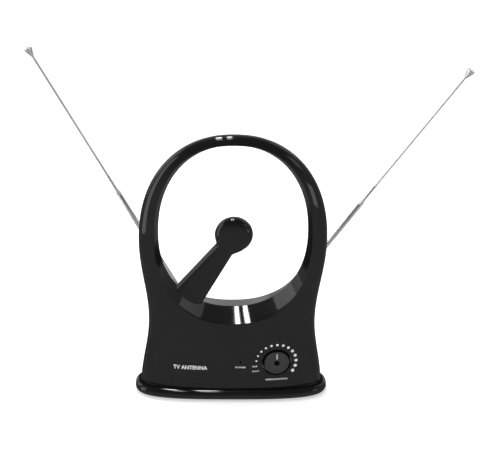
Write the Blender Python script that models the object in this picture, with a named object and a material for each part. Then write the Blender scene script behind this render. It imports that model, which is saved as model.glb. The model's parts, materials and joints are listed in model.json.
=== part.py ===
"""Amplified indoor TV antenna: oval ring body, centre disc on an arm, gain knob, two telescopic rods.

Lengths below are millimetres and become metres in add_object.  Frame: origin on the ground under the
middle of the base, +X to the object's right, -Y towards its front, +Z up.
"""
import math

import bpy
from mathutils import Matrix, Vector

MM = 0.001
GAP = 0.3            # clearance between pieces that would touch
WALL = 2.2           # moulded wall thickness

# body: a flattened dome in plan and side view, split at Y = 0 into a front and a rear half
FOOT_Z = 13.3
TOP_Z = 295.3
RING_Z = 178.0       # height where the ring is widest
RING_HALF = 95.2
WAIST_Z = 89.0
WAIST_HALF = 86.3
FOOT_HALF = 95.7     # half-width the skirt flares to, near the ground
FLARE_DROP = 84.0
FOOT_DEPTH = 21.5    # half depth at the foot
TOP_DEPTH = 17.0     # half depth the dome would have at the top, before the rim rounds it off
OUTLINE_POWER = 2.2
DOME_POWER = 2.5

# opening through the ring: narrow line at the parting plane, wider edge on each face
HOLE_Z = 186.7
HOLE_HALF, HOLE_UP, HOLE_DOWN, HOLE_POWER = 75.4, 97.3, 85.1, 2.2
EDGE_HALF, EDGE_UP, EDGE_DOWN, EDGE_POWER = 79.5, 100.6, 94.7, 2.3
REAR_EDGE_DOWN = 89.0
PLAN_POWER = 3.0

# plinth under the body
BEAD = 6.1
BEAD_Z = 6.9
TRAY_FLOOR = (2.3, 4.3)
PAD_HALF, PAD_DEPTH = 62.0, 12.0

# centre disc and its arm
DISC_X, DISC_Z, DISC_R, DISC_DEPTH = 0.8, 186.0, 19.2, 8.0
ARM_DEPTH = 6.3
ARM_LEAN = math.radians(34.7)            # arm direction, measured from straight down
ARM_LEFT = [(-15.8, 178.6), (-17.8, 174.4), (-23.5, 166.8)]
ARM_RIGHT = [(8.6, 168.6), (0.6, 163.4), (-5.4, 155.9)]
ARM_FOOT_LEFT = (-57.0, 127.0)
ARM_FOOT_RIGHT = (-31.5, 106.1)

# gain control
DIAL_X, DIAL_Z, DIAL_YAW = 46.9, 45.1, math.radians(5.3)
KNOB_R = 14.7
WELL_R, WELL_DEPTH = 15.3, 6.0

# rods
PIVOT_X, PIVOT_Y, PIVOT_Z = 34.9, 32.0, 65.0
SPLAY = {"left": math.radians(-28.3), "right": math.radians(34.4)}
TUBE_1 = (2.60, 2.25, 8.3, 172.0)        # outer radius, inner radius, start and end along the rod
TUBE_2 = (2.00, 1.70, 19.0, 174.0)
TUBE_3 = (1.45, 1.20, 44.0, 196.0)
WIRE = (0.95, 180.0, 344.5)
TIP = (338.5, 348.0)

SHELL_SCREWS = [(-80.0, 42.0), (80.0, 42.0), (-72.0, 96.0), (72.0, 96.0)]
BOTTOM_SCREW_X, BOTTOM_SCREW_Y = 76.0, 6.5
BOARD_X, BOARD_Y, BOARD_Z = (-50.0, 28.0), (2.0, 3.6), (22.0, 84.0)
BOARD_SCREWS = [(-46.0, 80.0), (24.0, 26.0), (-46.0, 26.0), (24.0, 80.0)]   # the last two only rest
LED_X, LED_Z = 9.3, 45.1
COAX_X, COAX_Z = -10.0, 34.0
JACK_X, JACK_Z = 12.0, 32.0


# ---------------------------------------------------------------- helpers
def material(name, colour, metallic=0.0, roughness=0.4):
    mat = bpy.data.materials.new(name)
    mat.use_nodes = True
    shader = mat.node_tree.nodes["Principled BSDF"]
    shader.inputs["Base Color"].default_value = (*colour, 1.0)
    shader.inputs["Metallic"].default_value = metallic
    shader.inputs["Roughness"].default_value = roughness
    return mat


def add_object(name, solids, mat=None, origin=(0.0, 0.0, 0.0), smooth=True):
    """Make one object from a list of (verts, faces) solids given in millimetres."""
    verts, faces = [], []
    for solid_verts, solid_faces in solids:
        base = len(verts)
        verts += [(Vector(v) - Vector(origin)) * MM for v in solid_verts]
        faces += [tuple(base + i for i in face) for face in solid_faces]
    mesh = bpy.data.meshes.new(name)
    mesh.from_pydata(verts, [], faces)
    mesh.update()
    if smooth:
        mesh.shade_smooth()
    obj = bpy.data.objects.new(name, mesh)
    obj.location = Vector(origin) * MM
    bpy.context.scene.collection.objects.link(obj)
    if mat is not None:
        mesh.materials.append(mat)
        if smooth:
            mesh.set_sharp_from_angle(angle=math.radians(35))
    return obj


def boolean(target, operation, label, solids):
    """Join or cut solids into a target with an exact Boolean modifier and a hidden tool object."""
    tool = add_object(target.name + "_" + label, solids, smooth=False)
    tool.hide_render = True
    tool.display_type = "WIRE"
    mod = target.modifiers.new(label, "BOOLEAN")
    mod.operation = operation
    mod.solver = "EXACT"
    mod.object = tool
    return tool


def rings_to_solid(rings, closed=False, cap=True):
    """Skin equal-length closed rings of points; closed joins the last ring back to the first."""
    n = len(rings[0])
    verts = [p for ring in rings for p in ring]
    faces = []
    spans = len(rings) if closed else len(rings) - 1
    for i in range(spans):
        a, b = i * n, ((i + 1) % len(rings)) * n
        for j in range(n):
            k = (j + 1) % n
            faces.append((a + j, a + k, b + k, b + j))
    if cap and not closed:
        faces.append(tuple(reversed(range(n))))
        faces.append(tuple(range((len(rings) - 1) * n, len(rings) * n)))
    return outward(verts, faces)


def outward(verts, faces):
    """Flip every face when the enclosed volume comes out negative."""
    volume = 0.0
    for face in faces:
        a = Vector(verts[face[0]])
        for i in range(1, len(face) - 1):
            volume += a.dot(Vector(verts[face[i]]).cross(Vector(verts[face[i + 1]])))
    if volume < 0:
        faces = [tuple(reversed(face)) for face in faces]
    return verts, faces


def frame_of(axis):
    axis = Vector(axis).normalized()
    side = axis.orthogonal().normalized()
    return side, axis.cross(side), axis


def revolve(profile, centre, axis, n=24, closed=False):
    """Turn (radius, height) points about an axis; closed makes a tube-like ring of the profile."""
    side, other, axis = frame_of(axis)
    centre = Vector(centre)
    rings = []
    for radius, height in profile:
        ring = []
        for i in range(n):
            t = 2 * math.pi * i / n
            ring.append(tuple(centre + axis * height
                              + (side * math.cos(t) + other * math.sin(t)) * radius))
        rings.append(ring)
    return rings_to_solid(rings, closed=closed)


def cylinder(radius, start, end, n=24):
    start, end = Vector(start), Vector(end)
    return revolve([(radius, 0.0), (radius, (end - start).length)], start, end - start, n)


def tube(outer, inner, start, end, n=24, chamfer=0.2):
    start, end = Vector(start), Vector(end)
    length = (end - start).length
    profile = [(inner, 0.0), (outer, 0.0), (outer, length - chamfer), (outer - chamfer, length),
               (inner, length)]
    return revolve(profile, start, end - start, n, closed=True)


def box(x, y, z, turn=None, about=(0.0, 0.0, 0.0)):
    verts = [(a, b, c) for a in x for b in y for c in z]
    if turn is not None:
        verts = [tuple(turn @ (Vector(v) - Vector(about)) + Vector(about)) for v in verts]
    faces = [(0, 1, 3, 2), (4, 6, 7, 5), (0, 4, 5, 1), (2, 3, 7, 6), (0, 2, 6, 4), (1, 5, 7, 3)]
    return outward(verts, faces)


def wire(points, radius, n=8):
    """Round wire through a few points."""
    points = [Vector(p) for p in points]
    rings = []
    side = (points[1] - points[0]).orthogonal().normalized()
    for i, point in enumerate(points):
        ahead = points[min(i + 1, len(points) - 1)] - points[max(i - 1, 0)]
        ahead.normalize()
        side = (side - ahead * side.dot(ahead)).normalized()
        other = ahead.cross(side)
        rings.append([tuple(point + (side * math.cos(2 * math.pi * j / n)
                                     + other * math.sin(2 * math.pi * j / n)) * radius)
                      for j in range(n)])
    return rings_to_solid(rings)


def hex_nut(bore, corner, low, high, centre, axis, n=24):
    """Hexagonal ring: round bore, six flats whose corners lie at the given radius."""
    side, other, axis = frame_of(axis)
    rings = []
    for radius, height in ((bore, low), (corner, low), (corner, high), (bore, high)):
        ring = []
        for i in range(n):
            t = 2 * math.pi * i / n
            r = radius
            if radius == corner:
                r = corner * math.cos(math.pi / 6) / math.cos((t % (math.pi / 3)) - math.pi / 6)
            ring.append(tuple(Vector(centre) + axis * height
                              + (side * math.cos(t) + other * math.sin(t)) * r))
        rings.append(ring)
    return rings_to_solid(rings, closed=True)


def screw(head_radius, head_height, shank_radius, seat, tip, n=10):
    """Pan-head screw: the head stands on the seat side, the shank runs to the tip."""
    seat, tip = Vector(seat), Vector(tip)
    length = (tip - seat).length
    profile = [(head_radius * 0.75, -head_height), (head_radius, -head_height * 0.55),
               (head_radius, 0.0), (shank_radius, 0.0), (shank_radius, length - 1.0),
               (shank_radius * 0.35, length)]
    return revolve(profile, seat, tip - seat, n)


# ---------------------------------------------------------------- body shape
def half_width(z, inset=0.0):
    """Half-width of the outline at a height, below the widest level of the ring."""
    if z > WAIST_Z:
        middle, swing = (RING_HALF + WAIST_HALF) / 2, (RING_HALF - WAIST_HALF) / 2
        value = middle + swing * math.cos(math.pi * (RING_Z - z) / (RING_Z - WAIST_Z))
    else:
        middle, swing = (FOOT_HALF + WAIST_HALF) / 2, (FOOT_HALF - WAIST_HALF) / 2
        value = middle - swing * math.cos(math.pi * (WAIST_Z - z) / FLARE_DROP)
    return value - inset


def rim_ratio(x, z, inset=0.0):
    """0 on the centre line, 1 on the outer outline."""
    if z <= RING_Z:
        return abs(x) / half_width(z, inset)
    across = (abs(x) / (RING_HALF - inset)) ** OUTLINE_POWER
    up = ((z - RING_Z) / (TOP_Z - RING_Z - inset)) ** OUTLINE_POWER
    return (across + up) ** (1 / OUTLINE_POWER)


def depth(x, z, inset=0.0):
    """Half depth of the body at a point of the front view."""
    full = FOOT_DEPTH + (TOP_DEPTH - FOOT_DEPTH) * (z - FOOT_Z) / (TOP_Z - FOOT_Z)
    ratio = min(rim_ratio(x, z, inset), 1.0)
    return (full - inset) * (1.0 - ratio ** DOME_POWER) ** (1 / DOME_POWER)


def opening_radius(angle, edge, side=-1):
    """Distance from the opening's centre; angle 0 points down, positive turns towards +X."""
    x, z = math.sin(angle), -math.cos(angle)
    if edge:
        down = EDGE_DOWN if side < 0 else REAR_EDGE_DOWN
        a, b, power = EDGE_HALF, EDGE_UP if z > 0 else down, EDGE_POWER
    else:
        a, b, power = HOLE_HALF, HOLE_UP if z > 0 else HOLE_DOWN, HOLE_POWER
    return ((abs(x) / a) ** power + (abs(z) / b) ** power) ** (-1 / power)


def ray_point(angle, radius):
    return math.sin(angle) * radius, HOLE_Z - math.cos(angle) * radius


def outline_radius(angle, inset=0.0):
    """Distance from the opening's centre to the outer outline or the foot line."""
    foot = (HOLE_Z - FOOT_Z) / math.cos(angle) if math.cos(angle) > 0 else 1e9
    low, high = 60.0, 240.0
    for _ in range(50):
        mid = (low + high) / 2
        x, z = ray_point(angle, mid)
        if mid < foot and rim_ratio(x, z, inset) > 1.0:
            high = mid
        elif mid >= foot:
            high = mid
        else:
            low = mid
    return (low + high) / 2


def ray_angles(inset=0.0):
    """Directions round the opening: close-set at the foot corners, even round the ring."""
    corner = math.atan2(half_width(FOOT_Z, inset), HOLE_Z - FOOT_Z)
    foot = [math.atan2(half_width(FOOT_Z, inset) * math.sin(math.pi * i / 12), HOLE_Z - FOOT_Z)
            for i in range(-6, 6)]
    steps = 42
    return foot + [corner + (2 * math.pi - 2 * corner) * i / steps for i in range(steps)]


def shell_half(side):
    """Hollow half of the body; side is -1 for the front and +1 for the rear."""
    rings = []
    outer_steps, inner_steps = 6, 3
    for angle in ray_angles():
        ring = []
        hole, edge = opening_radius(angle, False), opening_radius(angle, True, side)
        rim = outline_radius(angle)

        def point(radius, y, angle=angle):
            x, z = ray_point(angle, radius)
            return (x, side * (GAP / 2 + y), z)

        # outer skin: parting line of the opening, crisp front edge, then out to the rim
        ring.append(point(hole, 0.0))
        for k in range(outer_steps + 1):
            radius = edge + (rim - edge) * math.sin(math.pi / 2 * k / outer_steps)
            ring.append(point(radius, depth(*ray_point(angle, radius)) if k < outer_steps
                              or rim_at_foot(angle) else 0.0))
        # inner skin, back to the opening
        rim_in = outline_radius(angle, WALL)
        if not rim_at_foot(angle):
            rim_in = min(rim_in, rim - 0.8 * WALL)
        edge_in = edge + WALL
        for k in range(inner_steps, -1, -1):
            radius = edge_in + (rim_in - edge_in) * math.sin(math.pi / 2 * k / inner_steps)
            x, z = ray_point(angle, radius)
            y = depth(x, z, WALL)
            if k == inner_steps and not rim_at_foot(angle):
                y = 0.0
            ring.append(point(radius, y))
        ring.append(point(hole + WALL, 0.0))
        rings.append(ring)
    return rings_to_solid(rings, closed=True)


def rim_at_foot(angle):
    corner = math.atan2(half_width(FOOT_Z), HOLE_Z - FOOT_Z)
    turned = (angle + math.pi) % (2 * math.pi) - math.pi
    return abs(turned) < corner - 1e-6


def post(x, z, radius, side, start=GAP / 2, n=8, sink=1.1):
    """Round post from the parting plane into the middle of the wall."""
    near, far = [], []
    for i in range(n):
        px = x + radius * math.cos(2 * math.pi * i / n)
        pz = z + radius * math.sin(2 * math.pi * i / n)
        near.append((px, side * start, pz))
        far.append((px, side * (depth(px, pz) - sink), pz))
    centre = (x, side * (depth(x, z) - sink), z)
    verts = near + far + [centre]
    faces = [(i, (i + 1) % n, n + (i + 1) % n, n + i) for i in range(n)]
    faces.append(tuple(reversed(range(n))))
    faces += [(n + i, n + (i + 1) % n, 2 * n) for i in range(n)]
    return outward(verts, faces)


def corner_block(x_side, side):
    """Block for a bottom screw, grown from the skirt wall towards the parting plane."""
    columns = []
    for i in range(5):
        x = x_side * (BOTTOM_SCREW_X + 4.2 * (i - 2) / 2)
        columns.append((x, side * 2.3))
    for i in range(4, -1, -1):
        x = x_side * (BOTTOM_SCREW_X + 4.2 * (i - 2) / 2)
        columns.append((x, None))
    rings = []
    for z in (13.8, 28.0):
        rings.append([(x, side * (depth(x, z) - 1.1) if y is None else y, z) for x, y in columns])
    return rings_to_solid(rings)


def dial_point(height, across=0.0, up=0.0):
    """Point on the gain control's axis frame; height is along its outward normal."""
    centre = Vector((DIAL_X, -depth(DIAL_X, DIAL_Z) - GAP / 2, DIAL_Z))
    normal = Vector((math.sin(DIAL_YAW), -math.cos(DIAL_YAW), 0.0))
    right = Vector((math.cos(DIAL_YAW), math.sin(DIAL_YAW), 0.0))
    return centre + normal * height + right * across + Vector((0, 0, up))


def arm_direction():
    return Vector((-math.sin(ARM_LEAN), 0.0, -math.cos(ARM_LEAN)))


def arm_slot():
    """Clearance round the arm's metal strip where it passes the wall of the opening."""
    turn = Matrix.Rotation(ARM_LEAN, 3, "Y")
    centre = Vector((DISC_X, 0.0, DISC_Z)) + arm_direction() * 86.0
    x, _, z = centre
    return box((x - 4.8, x + 4.8), (-0.75, 0.75), (z - 12.0, z + 12.0), turn, centre)


def build_shells(black):
    front = add_object("front_shell", [shell_half(-1)], black)
    solids = [post(x, z, 4.2, -1) for x, z in SHELL_SCREWS]
    solids += [corner_block(s, -1) for s in (-1, 1)]
    solids.append(cylinder(WELL_R + 2.0, dial_point(-WELL_DEPTH - 2.0), dial_point(-1.1), 28))
    boolean(front, "UNION", "bosses", solids)
    cuts = [cylinder(1.3, (x, 1.0, z), (x, -9.5, z), 8) for x, z in SHELL_SCREWS]
    cuts += [cylinder(1.35, (s * BOTTOM_SCREW_X, -BOTTOM_SCREW_Y, 12.0),
                      (s * BOTTOM_SCREW_X, -BOTTOM_SCREW_Y, 25.5), 8) for s in (-1, 1)]
    cuts.append(revolve([(4.0, -WELL_DEPTH - 4.0), (4.0, -WELL_DEPTH), (WELL_R, -WELL_DEPTH),
                         (WELL_R, 6.0)], dial_point(0.0), dial_point(1.0) - dial_point(0.0), 28))
    cuts.append(cylinder(1.7, (LED_X, -24.0, LED_Z), (LED_X, -15.0, LED_Z), 12))
    cuts.append(arm_slot())
    boolean(front, "DIFFERENCE", "cuts", cuts)

    rear = add_object("rear_shell", [shell_half(1)], black)
    solids = [post(x, z, 4.6, 1) for x, z in SHELL_SCREWS]
    solids += [post(x, z, 3.0, 1, start=BOARD_Y[1] + GAP, n=12) for x, z in BOARD_SCREWS]
    solids += [corner_block(s, 1) for s in (-1, 1)]
    solids.append(post(*arm_screw_place(), 3.6, 1, start=0.75))
    for s in (-1, 1):
        solids.append(cylinder(10.5, (s * PIVOT_X, 15.0, PIVOT_Z), (s * PIVOT_X, 22.0, PIVOT_Z), 20))
    boolean(rear, "UNION", "bosses", solids)
    cuts = []
    for x, z in SHELL_SCREWS:
        cuts.append(revolve([(1.6, -1.0), (1.6, 4.6), (3.3, 4.6), (3.3, 24.0)], (x, 0, z), (0, 1, 0), 10))
    cuts += [cylinder(1.0, (x, 2.0, z), (x, 12.0, z), 8) for x, z in BOARD_SCREWS[:2]]
    cuts += [cylinder(1.35, (s * BOTTOM_SCREW_X, BOTTOM_SCREW_Y, 12.0),
                      (s * BOTTOM_SCREW_X, BOTTOM_SCREW_Y, 25.5), 8) for s in (-1, 1)]
    x, z = arm_screw_place()
    cuts.append(cylinder(1.2, (x, 0.0, z), (x, 9.5, z), 8))
    cuts += [cylinder(3.3, (s * PIVOT_X, 10.0, PIVOT_Z), (s * PIVOT_X, 26.0, PIVOT_Z), 16)
             for s in (-1, 1)]
    cuts.append(cylinder(5.3, (COAX_X, 14.0, COAX_Z), (COAX_X, 26.0, COAX_Z), 16))
    cuts.append(cylinder(4.3, (JACK_X, 14.0, JACK_Z), (JACK_X, 26.0, JACK_Z), 16))
    cuts.append(arm_slot())
    boolean(rear, "DIFFERENCE", "cuts", cuts)


def build_shell_screws(zinc):
    for i, (x, z) in enumerate(SHELL_SCREWS, 1):
        add_object("shell_screw_%d" % i, [screw(2.9, 1.9, 1.1, (x, 4.9, z), (x, -8.0, z))], zinc)


# ---------------------------------------------------------------- plinth and weight
def plan(offset, z, half=None, deep=None, n=36):
    """Superellipse in plan, moved outwards by an offset."""
    half = half_width(FOOT_Z) if half is None else half
    deep = FOOT_DEPTH if deep is None else deep
    points = []
    for i in range(n):
        t = 2 * math.pi * (i + 0.5) / n
        c, s = math.cos(t), math.sin(t)
        x = half * math.copysign(abs(c) ** (2 / PLAN_POWER), c)
        y = deep * math.copysign(abs(s) ** (2 / PLAN_POWER), s)
        nx = math.copysign(abs(x / half) ** (PLAN_POWER - 1) / half, x)
        ny = math.copysign(abs(y / deep) ** (PLAN_POWER - 1) / deep, y)
        size = math.hypot(nx, ny)
        points.append((x + offset * nx / size, y + offset * ny / size, z))
    return points


def build_base(black, rubber, steel, zinc):
    rings = [plan(0, TRAY_FLOOR[0], PAD_HALF + 0.4, PAD_DEPTH + 0.4),
             plan(0, BEAD_Z - BEAD, PAD_HALF + 0.4, PAD_DEPTH + 0.4),
             plan(-1.5, BEAD_Z - BEAD)]
    for i in range(5):
        t = math.radians(-70 + 35 * i)
        rings.append(plan(BEAD * math.cos(t), BEAD_Z + BEAD * math.sin(t)))
    rings += [plan(-1.5, BEAD_Z + BEAD), plan(-4.6, BEAD_Z + BEAD), plan(-4.6, TRAY_FLOOR[1])]
    plinth = add_object("base_plinth", [rings_to_solid(rings)], black)
    places = [(sx * BOTTOM_SCREW_X, sy * BOTTOM_SCREW_Y) for sx in (-1, 1) for sy in (-1, 1)]
    floor = TRAY_FLOOR[1]
    solids = [cylinder(3.9, (x, y, floor - 1), (x, y, BEAD_Z + BEAD - 0.4), 12) for x, y in places]
    solids += [cylinder(3.2, (x, 0, floor - 1), (x, 0, floor + 2.0), 10) for x in (-52.0, 52.0)]
    boolean(plinth, "UNION", "bosses", solids)
    cuts = [revolve([(3.2, -1.0), (3.2, 3.2), (1.7, 3.2), (1.7, 14.0)], (x, y, 0), (0, 0, 1), 10)
            for x, y in places]
    cuts += [cylinder(1.1, (x, 0, floor - 0.6), (x, 0, floor + 4.0), 8) for x in (-52.0, 52.0)]
    boolean(plinth, "DIFFERENCE", "cuts", cuts)

    add_object("base_pad", [rings_to_solid([plan(0, 0, PAD_HALF, PAD_DEPTH),
                                            plan(0, 2.0, PAD_HALF, PAD_DEPTH)])], rubber)
    for i, (x, y) in enumerate(places, 1):
        add_object("bottom_screw_%d" % i, [screw(2.8, 1.8, 1.1, (x, y, 2.9), (x, y, 23.0))], zinc)
    plate = add_object("ballast_plate",
                       [rings_to_solid([plan(0, z, 66.0, 14.5, 28) for z in (6.6, 12.4)])], steel)
    boolean(plate, "DIFFERENCE", "holes",
            [cylinder(1.6, (x, 0, 5), (x, 0, 14), 10) for x in (-52.0, 52.0)])
    for i, x in enumerate((-52.0, 52.0), 1):
        add_object("ballast_screw_%d" % i, [screw(2.8, 1.8, 0.8, (x, 0, 12.7), (x, 0, 4.3))], zinc)


# ---------------------------------------------------------------- arm and disc
def arm_screw_place():
    place = Vector((DISC_X, 0.0, DISC_Z)) + arm_direction() * 99.5
    return place.x, place.z


def wall_reach(start, end, y, side):
    """Where the line from start through end meets the wall of the opening at a depth."""
    start, end = Vector(start), Vector(end)
    low, high = 0.0, 2.0
    for _ in range(40):
        mid = (low + high) / 2
        x, z = start + (end - start) * mid
        angle = math.atan2(x, HOLE_Z - z)
        hole, edge = opening_radius(angle, False), opening_radius(angle, True, side)
        full = depth(*ray_point(angle, edge))
        limit = hole + (edge - hole) * min(abs(y) / full, 1.0) - 1.2 * GAP
        if math.hypot(x, HOLE_Z - z) > limit:
            high = mid
        else:
            low = mid
    return start + (end - start) * low


def arm_strip(side, inset):
    """Tapered half of the arm, rounded across, running from inside the disc to the opening's wall."""
    across = [math.sin(math.radians(a)) for a in (-90, -70, -45, 0, 45, 70, 90)]
    rings = []
    rows = list(zip(ARM_LEFT, ARM_RIGHT)) + [(ARM_FOOT_LEFT, ARM_FOOT_RIGHT)]
    high = ARM_DEPTH - inset
    last = len(rows) - 1
    for k, (left, right) in enumerate(rows):
        ring = []
        centre, half = (Vector(left) + Vector(right)) / 2, (Vector(right) - Vector(left)) / 2
        half = half * (1 - inset / half.length)
        start = (Vector(rows[last - 1][0]) + Vector(rows[last - 1][1])) / 2
        spread = (Vector(rows[last - 1][1]) - Vector(rows[last - 1][0])) / 2
        spread = spread * (1 - inset / spread.length)
        for t in across:
            y = high * (1 - abs(t) ** DOME_POWER) ** (1 / DOME_POWER)
            place = centre + half * t
            if k == last:
                place = wall_reach(start + spread * t, place, y, side)
                if inset:
                    place = place + (place - start).normalized() * 2.0
            ring.append((place.x, side * (GAP / 2 + max(y, 0.0)), place.y))
        flat = -side * 0.6 if inset else side * GAP / 2
        ring.append((ring[-1][0], flat, ring[-1][2]) if inset else None)
        ring.append((ring[0][0], flat, ring[0][2]) if inset else None)
        rings.append([p for p in ring if p is not None])
    return rings_to_solid(rings)


def disc_half(side, inset):
    """Domed half of the centre disc."""
    radius, high = DISC_R - inset, DISC_DEPTH - inset
    profile = [(0.01, -0.75 if inset else 0.0), (radius, -0.75 if inset else 0.0)]
    for k in range(1, 7):
        r = math.cos(math.radians(15 * k)) if k < 6 else 0.0
        profile.append((max(radius * r, 0.01), high * (1 - r ** DOME_POWER) ** (1 / DOME_POWER)))
    return revolve(profile, (DISC_X, side * GAP / 2, DISC_Z), (0, side, 0), 24)


def build_arm(black, copper, zinc):
    for name, side in (("arm_front_cover", -1), ("arm_rear_cover", 1)):
        cover = add_object(name, [disc_half(side, 0.0)], black)
        boolean(cover, "UNION", "strip", [arm_strip(side, 0.0)])
        boolean(cover, "DIFFERENCE", "disc_hollow", [disc_half(side, 1.8)])
        boolean(cover, "DIFFERENCE", "strip_hollow", [arm_strip(side, 1.8)])
    turn = Matrix.Rotation(ARM_LEAN, 3, "Y")
    centre = Vector((DISC_X, 0.0, DISC_Z))
    strip = box((DISC_X - 4.2, DISC_X + 4.2), (-0.4, 0.4), (DISC_Z - 104.0, DISC_Z - 5.0), turn, centre)
    element = add_object("arm_element", [cylinder(14.0, (DISC_X, -0.4, DISC_Z),
                                                  (DISC_X, 0.4, DISC_Z), 32)], copper)
    boolean(element, "UNION", "strip", [strip])
    x, z = arm_screw_place()
    boolean(element, "DIFFERENCE", "hole", [cylinder(1.5, (x, -2, z), (x, 2, z), 16)])
    add_object("arm_screw", [screw(2.5, 1.6, 1.0, (x, -0.7, z), (x, 8.5, z))], zinc)

    # flat loop inside the ring, open at the bottom
    rings = []
    for i in range(41):
        angle = math.radians(52 + 256 * i / 40)
        hole, rim = opening_radius(angle, False), outline_radius(angle)
        radius = hole + 0.42 * (rim - hole)
        ring = []
        for r, y in ((-0.4, -2.8), (0.4, -2.8), (0.4, 2.8), (-0.4, 2.8)):
            x, z = ray_point(angle, radius + r)
            ring.append((x, y, z))
        rings.append(ring)
    add_object("uhf_loop", [rings_to_solid(rings)], copper)


# ---------------------------------------------------------------- electronics
def build_electronics(mats):
    board = add_object("main_pcb", [box(BOARD_X, BOARD_Y, BOARD_Z)], mats["board"], smooth=False)
    boolean(board, "DIFFERENCE", "holes",
            [cylinder(1.5, (x, 0, z), (x, 6, z), 16) for x, z in BOARD_SCREWS[:2]])
    for i, (x, z) in enumerate(BOARD_SCREWS[:2], 1):
        add_object("pcb_screw_%d" % i, [screw(2.3, 1.6, 0.8, (x, 1.7, z), (x, 9.5, z), 12)], mats["zinc"])
    add_object("rf_shield_can", [box((-42.0, -14.0), (-5.0, 1.7), (42.0, 66.0))], mats["tin"],
               smooth=False)
    add_object("power_led", [box((LED_X - 1.6, LED_X + 1.6), (0.2, 1.7), (LED_Z - 1.0, LED_Z + 1.0))],
               mats["lens"], smooth=False)
    tip = -depth(LED_X, LED_Z) - GAP / 2
    add_object("power_light_pipe",
               [revolve([(2.4, 0.0), (2.4, 2.0), (1.4, 2.0), (1.4, 17.2 - 0.4), (1.1, 17.2)],
                        (LED_X, tip + 16.9, LED_Z), (0, -1, 0), 16)], mats["lens"])

    # coax connector and its nut on the rear face
    add_object("f_connector",
               [revolve([(5.4, 3.9), (5.4, 17.5), (4.75, 17.5), (4.75, 33.6), (4.3, 34.0), (0.6, 34.0),
                         (0.6, 29.0)], (COAX_X, 0, COAX_Z), (0, 1, 0), 20)],
               mats["chrome"])
    seat = depth(COAX_X, COAX_Z) + GAP
    add_object("f_connector_nut", [hex_nut(5.05, 7.6, seat + 0.3, seat + 2.8, (COAX_X, 0, COAX_Z),
                                           (0, 1, 0))], mats["chrome"], smooth=False)
    jack = add_object("dc_jack", [box((JACK_X - 4.5, JACK_X + 4.5), (3.9, 18.2),
                                      (JACK_Z - 5.5, JACK_Z + 5.5))], mats["jack"], smooth=False)
    boolean(jack, "UNION", "nose", [cylinder(3.9, (JACK_X, 17, JACK_Z), (JACK_X, 21.0, JACK_Z), 24)])
    boolean(jack, "DIFFERENCE", "socket",
            [tube(2.9, 1.0, (JACK_X, 9.5, JACK_Z), (JACK_X, 23.0, JACK_Z), 20, 0.0)])

    leads = mats["lead"]
    ribbon = [dial_point(-17.6, -3.0), dial_point(-18.0, -9.0), Vector((26.0, 1.0, DIAL_Z))]
    add_object("gain_ribbon", [rings_to_solid([[(p.x, p.y + t, p.z + u) for t, u in
                                                ((-0.4, -3.0), (0.4, -3.0), (0.4, 3.0), (-0.4, 3.0))]
                                               for p in ribbon])], leads)
    add_object("loop_lead_left", [wire([(-73.0, 0.0, 119.0), (-66.5, -2.0, 108.0), (-64.5, -2.0, 97.0),
                                        (-48.0, 0.4, 78.0)], 0.6)], leads)
    add_object("loop_lead_right", [wire([(73.0, 0.0, 119.0), (66.0, -2.0, 106.0), (63.0, -2.0, 95.0),
                                         (20.0, 0.4, 76.0)], 0.6)], leads)
    for name, x, end in (("left", -PIVOT_X, -36.0), ("right", PIVOT_X - 1.0, 25.0)):
        add_object("rod_lead_" + name, [wire([(x, 10.2, PIVOT_Z - 1.0), (x, 8.0, PIVOT_Z - 5.0),
                                              (end, 4.7, 57.0)], 0.6)], leads)


def build_gain_control(mats):
    axis = dial_point(1.0) - dial_point(0.0)
    origin = tuple(dial_point(0.0))
    floor = -WELL_DEPTH
    pot = revolve([(0.01, floor - 11.0), (8.0, floor - 11.0), (8.0, floor - 2.3), (3.6, floor - 2.3),
                   (3.6, floor + 2.9), (2.8, floor + 2.9), (2.8, floor - 8.0), (0.01, floor - 8.0)],
                  origin, axis, 28)
    add_object("gain_pot", [pot], mats["tin"])
    add_object("gain_pot_nut", [hex_nut(3.9, 5.8, floor + 0.3, floor + 2.4, origin, axis)],
               mats["zinc"], smooth=False)
    add_object("gain_shaft", [revolve([(2.0, floor - 7.7), (2.5, floor - 7.0), (2.5, 0.6), (2.2, 0.9)],
                                      origin, axis, 20)], mats["zinc"], origin=origin)
    knob = revolve([(0.01, 1.2), (2.8, 1.2), (2.8, -2.6), (5.0, -2.6), (5.0, -0.2), (11.2, -0.2),
                    (11.2, -5.5), (KNOB_R, -5.5), (KNOB_R, -3.0), (12.9, -3.0), (12.85, 1.6),
                    (12.3, 2.45), (11.4, 2.4), (8.0, 2.1), (2.6, 2.1), (1.6, 1.9), (0.01, 1.9)],
                   origin, axis, 24)
    knob_obj = add_object("gain_knob", [knob], mats["knob"], origin=origin)
    turn = Matrix.Rotation(DIAL_YAW, 3, "Z")

    def bar(half, low, high, start, end):
        place = dial_point(0.0)
        return box((place.x - half, place.x + half), (place.y - high, place.y - low),
                   (place.z + start, place.z + end), turn, place)

    boolean(knob_obj, "DIFFERENCE", "groove", [bar(0.9, 1.6, 5.0, 4.2, 11.4)])
    add_object("gain_pointer", [bar(0.6, 1.8, 2.4, 4.5, 11.1)], mats["print"], origin=origin,
               smooth=False)


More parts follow.
